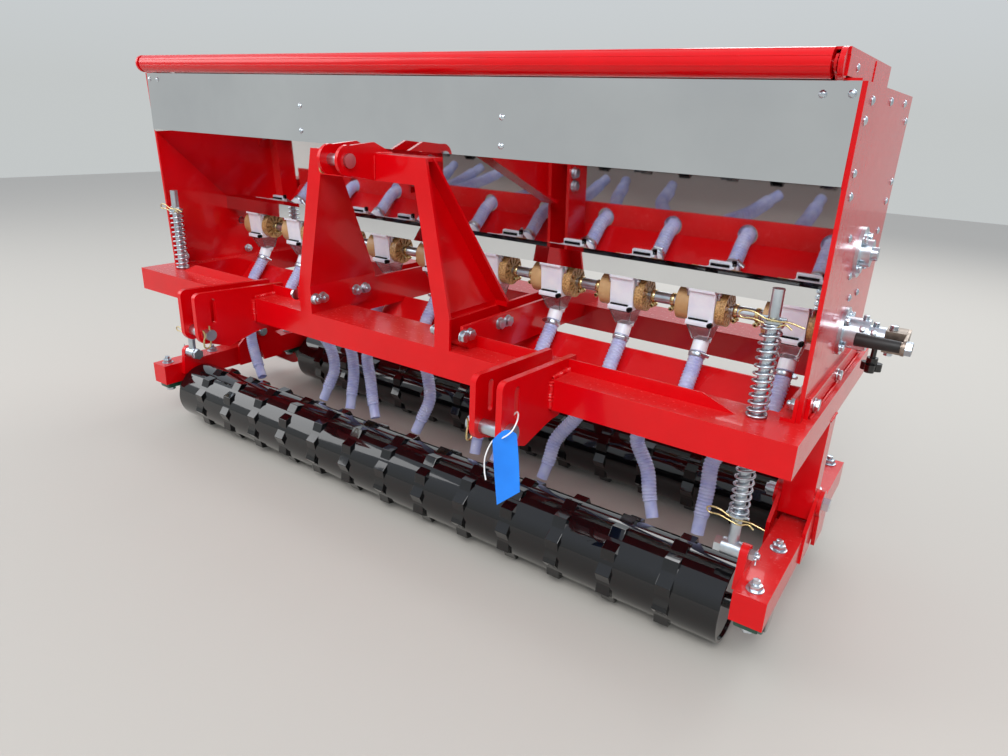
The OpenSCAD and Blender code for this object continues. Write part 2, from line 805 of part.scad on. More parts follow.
module spring_rods() {
    color("silver") place() both_ends() front_and_rear() {
        difference() {
            union() {
                translate([rod_x_pos, rod_in, boss_z]) cylinder(h = rod_top - boss_z, r = rod_r);
                rod_x(rod_x_pos - 15, boss_lug_x - seat, rod_in, boss_z, boss_r);
            }
            rod_x(rod_x_pos - 21, rod_x_pos + 14, rod_in, boss_z, boss_bolt_r + play);
        }
        for (z = [upper_top + wire_r + seat, lower_end - wire_r - seat - washer_t])
            translate([rod_x_pos, rod_in, z]) cylinder(h = washer_t, r = spring_r + wire_r);
        clip_gap = wire_r + 2 * seat + washer_t + clip_r;
        for (z = [upper_top + clip_gap, lower_end - clip_gap])
            rod_x(rod_x_pos - 17, rod_x_pos + 17, rod_in, z, clip_r);
    }
}

// Side faces of a tube made of rings of points, two triangles a span
function tube_faces(last, sides) = [for (i = [0 : last - 1]) for (s = [0 : sides - 1]) for (half = [0, 1])
    let (a = i * sides + s, b = i * sides + (s + 1) % sides)
    half == 0 ? [a, a + sides, b + sides] : [a, b + sides, b]];

// Coil of round wire from one height to another
function coil_ring(a, r, z, sides) = [for (s = [0 : sides - 1]) let (b = 360 / sides * s)
    [(r + wire_r * cos(b)) * cos(a), (r + wire_r * cos(b)) * sin(a), z + wire_r * sin(b)]];

module coil(low, high, turns, steps, sides) {
    last = turns * steps;
    rows = [for (i = [0 : last])
        coil_ring(360 * i / steps, spring_r, low + (high - low) * i / last, sides)];
    polyhedron(points = [for (row = rows) each row], faces = [
        [for (s = [0 : sides - 1]) s],
        each tube_faces(last, sides),
        [for (s = [sides - 1 : -1 : 0]) last * sides + s]]);
}

module springs() {
    color("silver") place() both_ends() front_and_rear() translate([rod_x_pos, rod_in, 0]) {
        coil(frame_top + wire_r + seat, upper_top, 14, 8, 4);
        coil(lower_end, frame_low - wire_r - seat, 10, 8, 4);
    }
}

// Lugged rollers

module roller(y, left) {
    drum_r_out = roller_r - lug_h;
    half = boss_lug_x - roller_gap;
    color("black") place() {
        rod_x(-half, half, y, axle_z, drum_r_out);
        rod_x(left, arm_x + 22, y, axle_z, axle_r);
        for (i = [0 : rings - 1]) translate([(i - (rings - 1) / 2) * ring_pitch, y, axle_z])
            for (k = [0 : lugs - 1]) rotate([360 / lugs * (k + i % 2 / 2), 0, 0])
                slab_x(-lug_w / 2, lug_w / 2) intersection() {
                    polygon([[-17, drum_r_out - 6], [-12, roller_r + 2], [12, roller_r + 2], [17, drum_r_out - 6]]);
                    circle(r = roller_r);
                }
    }
}

module front_roller() { roller(front_axle, -arm_x - 22); }
module rear_roller() { roller(rear_axle, -side_reach + 16); }

// Seed hoses, from the spouts through the guide to between the rollers

// Sideways place of each hose below the guide and at its end
hose_under = [-630, -362, -276, -218, -54, 108, 205, 327, 451, 590];
hose_end = [-600, -313, -229, -172, -42, 120, 170, 283, 513, 595];

// Sideways place of each hose in the guide
function hose_x(i) = meter_x(i);

function hose_route(i) = [
    [meter_x(i), spout_end_y, spout_end_z],
    [meter_x(i), spout_end_y - 7, spout_end_z - 13],
    [meter_x(i), hole_y + 26, hole_z + 40],
    [hose_x(i), hole_y + 10, hole_z + 20],
    [hose_x(i), hole_y, hole_z - 6],
    [(3 * hose_x(i) + hose_under[i]) / 4, hole_y - 2, 306],
    [(hose_x(i) + 3 * hose_under[i]) / 4, hole_y + 1, 270],
    [hose_under[i], hole_y, 236],
    [(hose_under[i] + hose_end[i]) / 2, 199, 192],
    [(hose_under[i] + 3 * hose_end[i]) / 4, 185, 150],
    [hose_end[i], 172, 116]];

function unit(v) = v / norm(v);
function along(route, i) = unit(route[min(i + 1, len(route) - 1)] - route[max(i - 1, 0)]);

// Ring of points about a place on the route, square to its run
function hose_ring(p, run, r, sides) = let (side = unit(cross(run, [0, 1, 0.001])), up = cross(side, run))
    [for (s = [0 : sides - 1]) let (a = 360 / sides * s) p + r * (cos(a) * side + sin(a) * up)];

module hose(i) {
    sides = 8;
    route = hose_route(i);
    last = len(route) - 1;
    rows = [for (k = [0 : last]) hose_ring(route[k], along(route, k), hose_r, sides)];
    color("thistle") place() polyhedron(points = [for (row = rows) each row], faces = [
        [for (s = [0 : sides - 1]) s],
        each tube_faces(last, sides),
        [for (s = [sides - 1 : -1 : 0]) last * sides + s]]);
}

frame();
hose_guide();
rails();
mast();
lower_hitch();
lower_pins();
top_pin();
side_plates();
hopper();
lid_hinges();
lid();
meter_housings();
meter_funnels();
meter_spouts();
metering_shaft();
shaft_couplers();
meter_drums();
meter_discs();
agitator();
shaft_flanges();
rate_hub();
rate_crank();
rate_knob();
drive_case();
drive_mounts();
front_arms();
rear_arms();
arm_pivots();
boss_bolts();
bearing_blocks();
spring_rods();
springs();
front_roller();
rear_roller();
hose(0);  // hose_1
hose(1);  // hose_2
hose(2);  // hose_3
hose(3);  // hose_4
hose(4);  // hose_5
hose(5);  // hose_6
hose(6);  // hose_7
hose(7);  // hose_8
hose(8);  // hose_9
hose(9);  // hose_10
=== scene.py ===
"""Dresses the seed drill: camera, light, hoses, fastenings, springs, trim and finishes."""

import math

import bpy
from mathutils import Matrix, Vector


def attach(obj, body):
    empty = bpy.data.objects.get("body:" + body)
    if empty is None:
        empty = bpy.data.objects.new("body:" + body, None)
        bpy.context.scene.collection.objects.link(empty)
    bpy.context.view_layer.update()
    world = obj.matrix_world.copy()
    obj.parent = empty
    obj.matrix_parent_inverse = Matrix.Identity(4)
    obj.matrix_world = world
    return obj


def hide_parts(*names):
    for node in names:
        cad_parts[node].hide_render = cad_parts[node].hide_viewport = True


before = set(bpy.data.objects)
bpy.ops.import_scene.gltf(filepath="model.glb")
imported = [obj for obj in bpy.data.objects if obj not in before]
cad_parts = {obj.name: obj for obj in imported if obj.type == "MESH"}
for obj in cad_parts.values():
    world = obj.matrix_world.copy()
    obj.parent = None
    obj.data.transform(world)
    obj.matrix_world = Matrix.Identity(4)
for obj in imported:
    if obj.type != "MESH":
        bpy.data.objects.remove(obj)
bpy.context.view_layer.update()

# The drill's own measures are millimetres: X from its middle to the crank, Y back from the
# front beam's face, Z up from the ground. at() turns them into the frame's metres.
MM = 0.001
FRONT_FACE = -205.0
BOTH = (-1, 1)
ROOT = "drill"

# Half the frame's width, its top and underside, and its middle
FRAME_X, FRAME_TOP, FRAME_LOW, MID_Y = 751, 396, 346, 270
# The side plates' outer and inner faces, and the thickness of the angles on them
PLATE_OUT, PLATE_IN, ANGLE = 735, 729, 5
# The metering shaft, the agitator above it, and the row of meters
SHAFT_Z, AGITATOR_Z = 485, 605
METERS, METER_STEP, METER_SHIFT = range(10), 144.4, 18
# The roller arms, their undersides and tops, and the rollers' axles under them
ARM_X, ARM_LOW, ARM_TOP = 730, 108, 156
FRONT_AXLE, REAR_AXLE, AXLE_Z = 84.5, 455.5, 76
# The spring rods and the lid's rolled edge
ROD_X, ROD_YS = 680, (62, 478)
LID_Y, LID_Z = 46, 842.3
# Gap that keeps two faces from lying in one plane
SEAT = 0.2


def at(x, y, z):
    """Turn the drill's own millimetres into the frame's metres."""
    return Vector((x, y + FRONT_FACE, z)) * MM


def meter_x(i):
    return (i - 4.5) * METER_STEP + METER_SHIFT


# Camera and lights

PHOTO_WIDTH, FOCAL_LENGTH = 1008, 703.2  # pixels
SENSOR_WIDTH = 36


def add_camera():
    """Stand where the photographer stood: in front of the crank end, a little below the lid."""
    yaw, pitch, roll = 0.59155, 0.35953, 0.04404
    ahead = Vector((-math.sin(yaw) * math.cos(pitch), math.cos(yaw) * math.cos(pitch),
                    -math.sin(pitch)))
    level = Vector((math.cos(yaw), math.sin(yaw), 0))
    above = level.cross(ahead)
    right = math.cos(roll) * level + math.sin(roll) * above
    up = -math.sin(roll) * level + math.cos(roll) * above
    turn = Matrix((right, up, -ahead)).transposed()
    bpy.ops.object.camera_add(location=at(889.2, -877.3, 773.6), rotation=turn.to_euler())
    camera = bpy.context.object
    camera.data.sensor_width = SENSOR_WIDTH
    camera.data.lens = FOCAL_LENGTH / PHOTO_WIDTH * SENSOR_WIDTH
    camera.data.clip_start = 0.02
    bpy.context.scene.camera = camera


def add_softbox(name, place, size, power):
    """Hang a softbox that faces the drill's middle, metres and watts."""
    target = Vector((0, 0, 0.4))
    bpy.ops.object.light_add(type="AREA", location=place)
    light = bpy.context.object
    light.name = name
    light.data.shape = "RECTANGLE"
    light.data.size, light.data.size_y = size
    light.data.energy = power
    light.rotation_euler = (target - Vector(place)).to_track_quat("-Z", "Y").to_euler()


# Materials: each starts from what the real finish is and how it was made

COLOUR_A, COLOUR_B, COLOUR_OUT = 6, 7, 2  # the Mix node's sockets for colours


def linear(hexa, alpha=1.0):
    """Turn an sRGB hex colour into linear light."""
    parts = [int(hexa[i : i + 2], 16) / 255 for i in (0, 2, 4)]
    return [p / 12.92 if p <= 0.04045 else ((p + 0.055) / 1.055) ** 2.4 for p in parts] + [alpha]


def put(tree, kind, sockets=None, **settings):
    """Add a node, give it its settings, and set or link its sockets."""
    made = tree.nodes.new("ShaderNode" + kind)
    for name, value in settings.items():
        setattr(made, name, value)
    for name, value in (sockets or {}).items():
        if isinstance(value, bpy.types.NodeSocket):
            tree.links.new(value, made.inputs[name])
        else:
            made.inputs[name].default_value = value
    return made


def blank(name, **sockets):
    """Start a material with one Principled shader whose plain sockets are set."""
    material = bpy.data.materials.new(name)
    material.use_nodes = True
    tree = material.node_tree
    shader = tree.nodes["Principled BSDF"]
    for key, value in sockets.items():
        shader.inputs[key.replace("_", " ")].default_value = value
    place = put(tree, "TexCoord").outputs["Object"]
    return material, tree, shader, place


def noise(tree, place, apart, detail, **more):
    """A cloudy pattern whose features are so many millimetres apart."""
    sockets = {"Vector": place, "Scale": 1 / MM / apart, "Detail": detail, **more}
    return put(tree, "TexNoise", sockets).outputs["Fac"]


def two_tones(tree, value, dark, light, low=0.0, high=1.0):
    """Run from one colour to the other as the value goes from low to high."""
    made = put(tree, "ValToRGB", {"Fac": value})
    for stop, where, tone in zip(made.color_ramp.elements, (low, high), (dark, light)):
        stop.position, stop.color = where, linear(tone)
    return made.outputs["Color"]


def scaled(tree, value, least, most, low=0.0, high=1.0):
    """Run from the least to the most as the value goes from low to high."""
    sockets = {"Value": value, "From Min": low, "From Max": high, "To Min": least, "To Max": most}
    return put(tree, "MapRange", sockets).outputs["Result"]


def bump(tree, height, strength, depth, **more):
    """Raise a pattern by so many millimetres, over another relief where one is given."""
    sockets = {"Height": height, "Strength": strength, "Distance": depth * MM, **more}
    return put(tree, "Bump", sockets).outputs[0]


def connect(tree, shader, colour, gloss, relief):
    tree.links.new(colour, shader.inputs["Base Color"])
    tree.links.new(gloss, shader.inputs["Roughness"])
    tree.links.new(relief, shader.inputs["Normal"])


def red_gloss_enamel_sprayed():
    """Sprayed enamel over rough-cut steel: wet gloss, faint orange peel, dust on what faces up."""
    material, tree, shader, place = blank(
        "red_gloss_enamel_sprayed", IOR=1.4, Coat_Weight=0.22, Coat_Roughness=0.03,
        Specular_IOR_Level=0.35)
    paint = two_tones(tree, noise(tree, place, 60, 4.0), "c40007", "d8000c")
    normal = put(tree, "NewGeometry").outputs["Normal"]
    upward = put(tree, "SeparateXYZ", {"Vector": normal}).outputs["Z"]
    grit = noise(tree, place, 9, 6.0, Roughness=0.7)
    dust = put(tree, "Math", {0: scaled(tree, upward, 0.0, 0.07, low=0.6), 1: grit},
               operation="MULTIPLY").outputs[0]
    colour = put(tree, "Mix", {"Factor": dust, COLOUR_A: paint, COLOUR_B: linear("c9a79a")},
                 data_type="RGBA").outputs[COLOUR_OUT]
    gloss = put(tree, "Math", {0: scaled(tree, grit, 0.12, 0.3), 1: dust},
                operation="ADD").outputs[0]
    waves = bump(tree, noise(tree, place, 70, 1.0), 0.12, 2)
    peel = bump(tree, noise(tree, place, 2.2, 2.0), 0.08, 0.4, Normal=waves)
    connect(tree, shader, colour, gloss, peel)
    return material


def black_gloss_enamel_sprayed():
    """Sprayed enamel on the rollers: deep black, wet gloss, dust rubbed on by handling."""
    material, tree, shader, place = blank(
        "black_gloss_enamel_sprayed", IOR=1.5, Coat_Weight=0.6, Coat_Roughness=0.03,
        Specular_IOR_Level=0.3)
    dust = noise(tree, place, 45, 8.0, Roughness=0.7)
    colour = two_tones(tree, dust, "08080a", "161412", 0.55, 0.9)
    gloss = scaled(tree, dust, 0.05, 0.2, 0.4, 0.8)
    waves = bump(tree, noise(tree, place, 40, 2.0), 0.1, 2)
    connect(tree, shader, colour, gloss, waves)
    return material


def metal(name, dark, light, rough, patch, grain, depth):
    """A bare or plated metal: two tones in patches, with a fine grain in its gloss."""
    material, tree, shader, place = blank(name, Metallic=1.0)
    colour = two_tones(tree, noise(tree, place, patch, 5.0), dark, light, 0.3, 0.7)
    fine = noise(tree, place, grain, 3.0)
    connect(tree, shader, colour, scaled(tree, fine, *rough), bump(tree, fine, depth, 0.4))
    return material


def moulded(name, dark, light, rough, patch, **sockets):
    """Injection-moulded plastic: an even colour with slight flow marks and a fine skin."""
    material, tree, shader, place = blank(name, **sockets)
    flow = noise(tree, place, patch, 3.0)
    colour = two_tones(tree, flow, dark, light, 0.35, 0.7)
    skin = bump(tree, noise(tree, place, 1.5, 2.0), 0.06, 0.3)
    connect(tree, shader, colour, scaled(tree, flow, *rough), skin)
    return material


RED = red_gloss_enamel_sprayed()
BLACK = black_gloss_enamel_sprayed()
STAINLESS = metal("stainless_sheet_mirror_polished", "d2d3d5", "dedfe0", (0.02, 0.05),
                  200, 60, 0.05)
ZINC = metal("zinc_plated_steel_bright", "b0bac3", "d8e0e6", (0.26, 0.36), 40, 12, 0.03)
YELLOW_ZINC = metal("yellow_zinc_plated_wire", "c2ab72", "e2d0a0", (0.2, 0.36), 8, 3, 0.06)
CAST_GREEN = moulded("green_enamel_cast_iron", "123a2c", "1f4f3d", (0.3, 0.5), 10, IOR=1.5,
                     Coat_Weight=0.2)
NYLON = moulded("white_nylon_moulded", "e9ebf8", "f7f8fe", (0.3, 0.45), 30, IOR=1.53,
                Subsurface_Weight=0.1)
TAN = moulded("tan_acetal_moulded", "b88f60", "cfac7c", (0.3, 0.45), 30, IOR=1.48)
GOLD = moulded("greased_tan_acetal_moulded", "8f6636", "deb67c", (0.25, 0.5), 3, IOR=1.48)
GRIP = moulded("black_rubber_grip_moulded", "101010", "1d1c1b", (0.45, 0.65), 12, IOR=1.52)
KNOB = moulded("black_phenolic_knob_moulded", "0b0b0b", "161515", (0.15, 0.28), 20, IOR=1.6)
PHOSPHATE = metal("brown_phosphated_steel", "7d7166", "a89c90", (0.32, 0.5), 12, 4, 0.06)
CLEAR = moulded("smoky_clear_polycarbonate_moulded", "d8cdd0", "eee8ea", (0.08, 0.16), 25,
                IOR=1.3, Transmission_Weight=0.93)
HOSE = moulded("clear_pvc_hose_extruded", "c0c8f8", "dce2ff", (0.2, 0.3), 18, IOR=1.4,
               Transmission_Weight=0.3)
TAG_BLUE = moulded("blue_polythene_tag_cut", "0a76e0", "1684f0", (0.4, 0.5), 60, IOR=1.51)
TIE = moulded("white_nylon_tie_moulded", "e9e9e9", "f6f6f6", (0.3, 0.4), 20, IOR=1.53)
BOLT_BLACK = metal("black_oxide_steel", "0e0e0f", "222224", (0.25, 0.4), 6, 2, 0.1)

DRESS = (
    (RED, ("frame", "hose_guide", "rails", "mast", "lower_hitch", "side_plates", "lid",
           "lid_hinges", "drive_case", "drive_mounts", "front_arms", "rear_arms")),
    (ZINC, ("lower_pins", "top_pin", "metering_shaft", "shaft_couplers", "agitator",
            "shaft_flanges", "rate_hub", "arm_pivots", "boss_bolts", "spring_rods", "springs")),
    (BLACK, ("front_roller", "rear_roller")),
    (NYLON, ("meter_housings", "meter_spouts")),
    (STAINLESS, ("hopper",)),
    (CLEAR, ("meter_funnels",)),
    (TAN, ("meter_drums",)),
    (GOLD, ("meter_discs",)),
    (PHOSPHATE, ("rate_crank",)),
    (KNOB, ("rate_knob",)),
    (CAST_GREEN, ("bearing_blocks",)),
)
for material, node_names in DRESS:
    for node_name in node_names:
        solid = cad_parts[node_name]
        solid.data.materials.clear()
        solid.data.materials.append(material)


# Ways of working


def start(shape, **how):
    """Add a primitive with nothing else selected."""
    bpy.ops.object.select_all(action="DESELECT")
    getattr(bpy.ops.mesh, f"primitive_{shape}_add")(**how)
    return bpy.context.object


def only(*pieces):
    bpy.ops.object.select_all(action="DESELECT")
    for piece in pieces:
        piece.select_set(True)
    bpy.context.view_layer.objects.active = pieces[0]


def use_modifier(piece, kind, **settings):
    """Add a modifier, set it and apply it."""
    made = piece.modifiers.new(kind.title(), kind)
    for name, value in settings.items():
        setattr(made, name, value)
    only(piece)
    bpy.ops.object.modifier_apply(modifier=made.name)
    return piece


def soften(piece, width, **settings):
    """Round a piece's sharp edges, millimetres."""
    return use_modifier(piece, "BEVEL", width=width * MM, segments=2, limit_method="ANGLE",
                        **settings)


def settle(piece):
    """Bring a piece's place, turn and size into its mesh."""
    only(piece)
    bpy.ops.object.transform_apply(location=True, rotation=True, scale=True)
    return piece


def stretch(piece, value):
    """Resize a piece's mesh about the origin."""
    only(piece)
    bpy.ops.object.mode_set(mode="EDIT")
    bpy.ops.mesh.select_all(action="SELECT")
    bpy.ops.transform.resize(value=value, center_override=(0, 0, 0))
    bpy.ops.object.mode_set(mode="OBJECT")
    return piece


def joined(pieces):
    only(*pieces)
    if len(pieces) > 1:
        bpy.ops.object.join()
    return pieces[0]


def smooth(piece, degrees=35):
    only(piece)
    bpy.ops.object.shade_smooth_by_angle(angle=math.radians(degrees))
    return piece


def fit(piece, name, finish, body=ROOT):
    """Name a finished piece, give it its material and let it ride on a body."""
    piece.name = piece.data.name = name
    piece.data.materials.clear()
    piece.data.materials.append(finish)
    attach(piece, body)
    return piece


def twin(piece, move):
    """Copy a piece with a mesh of its own, and move that mesh."""
    made = piece.copy()
    made.data = piece.data.copy()
    bpy.context.collection.objects.link(made)
    made.data.transform(move)
    return made


def facing(way):
    """The turn that brings +Z to a direction."""
    return Vector((0, 0, 1)).rotation_difference(Vector(way)).to_matrix().to_4x4()


def bolts(name, model, spots, body=ROOT):
    """Set a modelled fastening at each place and direction, each turned a little further."""
    made = []
    for place, way in spots:
        spin = Matrix.Rotation(0.7 * len(made), 4, "Z")
        made.append(twin(model, Matrix.Translation(at(*place)) @ facing(way) @ spin))
    bpy.data.objects.remove(model)
    return fit(joined(made), name, ZINC, body)


def at_meters(pieces, name, finish, body=ROOT, count=len(METERS)):
    """Repeat a set of pieces modelled about x = 0 at each meter."""
    model = joined(pieces)
    made = [twin(model, Matrix.Translation(Vector((meter_x(i) * MM, 0, 0)))) for i in range(count)]
    bpy.data.objects.remove(model)
    return fit(smooth(joined(made)), name, finish, body)


def disc(radius, height, low, sides=32, edge=0.4):
    """A turned disc about Z with softened edges, millimetres."""
    piece = start("cylinder", vertices=sides, radius=radius * MM, depth=height * MM,
                  location=(0, 0, (low + height / 2) * MM))
    settle(piece)
    return soften(piece, edge) if edge else piece


def pin(a, b, radius, sides=24, edge=0.4):
    """A round bar from one place to another, millimetres."""
    way = Vector(b) - Vector(a)
    piece = disc(radius, way.length, 0, sides, edge)
    piece.data.transform(Matrix.Translation(at(*a)) @ facing(way))
    return piece


def spread(*spans):
    """Two opposite corners from the spans along X, Y and Z."""
    return [min(span) for span in spans], [max(span) for span in spans]


def plate(low, high, edge=0.5):
    """A bar or plate between two opposite corners, millimetres."""
    middle = [(a + b) / 2 for a, b in zip(low, high)]
    piece = start("cube", size=1, location=at(*middle),
                  scale=[(b - a) * MM for a, b in zip(low, high)])
    return soften(settle(piece), edge)


def hex_head(across, height, low):
    """A hexagon with chamfered corners."""
    return disc(across / 2 / math.cos(math.pi / 6), height, low, sides=6, edge=0.7)


def hex_bolt(across, height, washer, stub=0):
    """A hexagon head or nut on its washer, with a thread's end standing out of a nut."""
    parts = [hex_head(across, height, 1.6), disc(washer, 1.8, -0.1)]
    if stub:
        parts.append(disc(across * 0.3, stub, height + 1.4, sides=16, edge=0.8))
    return smooth(joined(parts))


def dome_bolt(radius, height):
    """A button head: half a sphere pressed flat, on a thin rim."""
    piece = start("uv_sphere", segments=24, ring_count=12, radius=radius * MM)
    bpy.ops.object.mode_set(mode="EDIT")
    bpy.ops.mesh.select_all(action="SELECT")
    bpy.ops.mesh.bisect(plane_co=(0, 0, 0), plane_no=(0, 0, 1), use_fill=True, clear_inner=True)
    bpy.ops.object.mode_set(mode="OBJECT")
    stretch(piece, (1, 1, height / radius))
    return smooth(joined([piece, disc(radius * 1.05, 0.8, -0.2, edge=0.2)]))


def smooth_line(points, steps):
    """Pass one smooth curve through the points."""
    line = []
    ends = [points[0] * 2 - points[1]] + points + [points[-1] * 2 - points[-2]]
    for a, b, c, d in zip(ends, ends[1:], ends[2:], ends[3:]):
        for s in range(steps):
            t = s / steps
            line.append(0.5 * (2 * b + (c - a) * t + (2 * a - 5 * b + 4 * c - d) * t * t
                               + (3 * b - a - 3 * c + d) * t ** 3))
    return line + [points[-1]]


def even_line(line, step):
    """Walk along a line in equal steps."""
    out, left = [line[0]], step
    for a, b in zip(line, line[1:]):
        run = (b - a).length
        while run > left:
            a = a.lerp(b, left / run)
            out.append(a)
            run = (b - a).length
            left = step
        left -= run
    return out + [line[-1]]


def tube_mesh(name, line, radii, sides):
    """Sweep a ring along a line without twist, the ring's radius changing as the radii say."""
    points, faces = [], []
    side = Vector((1, 0, 0))
    for k, p in enumerate(line):
        run = (line[min(k + 1, len(line) - 1)] - line[max(k - 1, 0)]).normalized()
        side = (side - run * side.dot(run)).normalized()
        other = run.cross(side)
        for s in range(sides):
            a = 2 * math.pi * s / sides
            points.append(p + (side * math.cos(a) + other * math.sin(a)) * radii[k])
    for k in range(len(line) - 1):
        for s in range(sides):
            a, b = k * sides + s, k * sides + (s + 1) % sides
            faces.append((a, b, b + sides, a + sides))
    mesh = bpy.data.meshes.new(name)
    mesh.from_pydata(points, [], faces)
    piece = bpy.data.objects.new(name, mesh)
    bpy.context.collection.objects.link(piece)
    return piece


def wire(places, radius):
    """A bent wire through the places, millimetres."""
    line = smooth_line([at(*p) for p in places], 6)
    return smooth(tube_mesh("wire", line, [radius * MM] * len(line), 8), 60)


def bead(a, b, radius=2.4):
    """A weld bead laid from one place to another in overlapping ripples."""
    a, b = at(*a), at(*b)
    step = 1.6 * MM
    count = max(int((b - a).length / step), 4)
    line = [a.lerp(b, k / count) for k in range(count + 1)]
    radii = []
    for k in range(count + 1):
        ripple = 0.18 * math.cos(2 * math.pi * k / 3) + 0.08 * math.sin(k * 1.7)
        radii.append(radius * MM * (0.82 + ripple))
    radii[0] = radii[-1] = radius * 0.5 * MM
    return smooth(tube_mesh("bead", line, radii, 10), 80)


# Hoses: clear ribbed tube from each meter's spout through the guide to between the rollers

SPOUT_Y, SPOUT_Z = 258.7, 406.8
GUIDE_Y, GUIDE_Z = 212.0, 336.0
# Where each hose hangs in X under the guide and at its free end, and its sway between the two
UNDER = (-630, -362, -276, -218, -54, 108, 205, 327, 451, 590)
ENDS = (-562, -333, -243, -162, -42, 120, 170, 283, 513, 595)
SWAYS = (-34, 28, 4, -12, 24, 0, 0, -12, 0, 0)
HOSE_TOP, HOSE_RIBBED, HOSE_FOOT, HOSE_WALL = 13.0, 12.3, 11.2, 2
RIB = (1.5, 0.4, 0.0, 0.4)
HOSE_RING = 1.5  # from one ring of points to the next
TOP_RINGS, FOOT_RINGS = 11, 22  # rings without ribs


def hose_points(i):
    """Places down a hose: out of the spout, through the guide, and swaying down to its end."""
    top, under, end, sway = meter_x(i), UNDER[i], ENDS[i], SWAYS[i]
    return [at(*p) for p in (
        (top, SPOUT_Y, SPOUT_Z),
        (top, SPOUT_Y - 7, SPOUT_Z - 13),
        (top, GUIDE_Y + 26, GUIDE_Z + 40),
        (top, GUIDE_Y + 10, GUIDE_Z + 20),
        (top, GUIDE_Y, GUIDE_Z - 6),
        ((3 * top + under) / 4, GUIDE_Y - 2, 306),
        ((top + 3 * under) / 4, GUIDE_Y + 1, 270),
        (under + sway / 2, GUIDE_Y, 236),
        ((under + end) / 2 + sway, 199, 192),
        ((under + 3 * end) / 4 + sway / 2, 185, 150),
        (end, 172, 116))]


def add_hose(i):
    """A hose with ribs 6 mm apart, plain at its top and narrower at its foot."""
    line = even_line(smooth_line(hose_points(i), 8), HOSE_RING * MM)
    radii = []
    for k in range(len(line)):
        left = len(line) - k
        ribbed = HOSE_RIBBED + RIB[k % len(RIB)]
        radius = HOSE_TOP if k < TOP_RINGS else HOSE_FOOT if left < FOOT_RINGS else ribbed
        radii.append(radius * MM)
    piece = tube_mesh("hose", line, radii, 18)
    use_modifier(piece, "SOLIDIFY", thickness=HOSE_WALL * MM, offset=-1.0)
    fit(smooth(piece, 60), f"seed_hose_{i + 1}", HOSE)
    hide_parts(f"hose_{i + 1}")


add_camera()
for number in METERS:
    add_hose(number)


# Springs: wound wire over and under the beam at each corner

WIRE, COIL = 2.0, 13.0
UPPER, LOWER = 134, 100
COIL_GAP = 0.3
END_COIL = 2.1  # rise of the closed coil at each end
TURN_STEPS = 24


def add_spring(x, y, low, high, turns):
    """Round wire wound to a helix whose end coils lie close together."""
    line = []
    for k in range(turns * TURN_STEPS + 1):
        t = k / TURN_STEPS
        rise = END_COIL * MM * (min(t, 1) + max(t - turns + 1, 0))
        rise += ((high - low) - 2 * END_COIL) * MM * min(max((t - 1) / (turns - 2), 0), 1)
        turn = 2 * math.pi * t
        place = at(x + COIL * math.cos(turn), y + COIL * math.sin(turn), low)
        line.append(place + Vector((0, 0, rise)))
    return smooth(tube_mesh("spring", line, [WIRE * 0.9 * MM] * len(line), 9), 60)


springs = []
for x in (-ROD_X, ROD_X):
    for y in ROD_YS:
        springs.append(add_spring(x, y, FRAME_TOP + WIRE + COIL_GAP, FRAME_TOP + UPPER, 14))
        springs.append(add_spring(x, y, FRAME_LOW - LOWER, FRAME_LOW - WIRE - COIL_GAP, 10))
springs = fit(joined(springs), "springs_wound", ZINC)
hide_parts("springs")


# Rollers: drawn tube with rings of folded teeth, ring after ring half a tooth out of step

TOOTH_R, TUBE_R, TEETH = 76, 68, 11
TUBE_WALL, RECESS = 6, 3
RINGS, RING_STEP, RING_WIDTH = 13, 100, 25
TUBE_END, AXLE_END, AXLE_R = 688, 742, 12.5
BLOCK_IN, BLOCK_OUT, BLOCK_LOW = 712, 748, 94


def tooth_ring(x, y, turn):
    """A star-shaped ring: a cylinder whose every second edge is drawn in to the tube."""
    ring = start("cylinder", vertices=2 * TEETH, radius=TOOTH_R * MM, depth=RING_WIDTH * MM)
    inner = (TUBE_R - 1) / TOOTH_R
    for vertex in ring.data.vertices:
        if round(math.degrees(math.atan2(vertex.co.x, vertex.co.y)) * TEETH / 180) % 2:
            vertex.co.x *= inner
            vertex.co.y *= inner
    soften(ring, 0.7, angle_limit=math.radians(20))
    ring.data.transform(Matrix.Rotation(math.radians(turn), 4, "Z"))
    ring.data.transform(Matrix.Translation(at(x, y, AXLE_Z)) @ Matrix.Rotation(-math.pi / 2, 4, "Y")
                        @ Matrix.Rotation(math.pi / 2, 4, "Z"))
    return ring


def add_blocks():
    """Cast blocks under the arms, each with a pedestal and a round housing, and black caps."""
    blocks, caps = [], []
    for s in BOTH:
        for y in (FRONT_AXLE, REAR_AXLE):
            foot = spread((s * BLOCK_IN, s * BLOCK_OUT), (y - 78.5, y + 78.5), (BLOCK_LOW, ARM_LOW))
            pedestal = spread((s * (BLOCK_IN + 3), s * (BLOCK_OUT - 3)), (y - 32, y + 32),
                              (AXLE_Z, 100))
            blocks += [plate(*foot, edge=3), plate(*pedestal, edge=2),
                       pin((s * BLOCK_IN, y, AXLE_Z), (s * 744, y, AXLE_Z), 30, 64, 2)]
            caps.append(pin((s * 743, y, AXLE_Z), (s * BLOCK_OUT, y, AXLE_Z), 25, 48, 1.5))
    cast = fit(smooth(joined(blocks)), "blocks_cast", CAST_GREEN)
    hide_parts("bearing_blocks")
    fit(smooth(joined(caps)), "bearing_caps", BLACK)


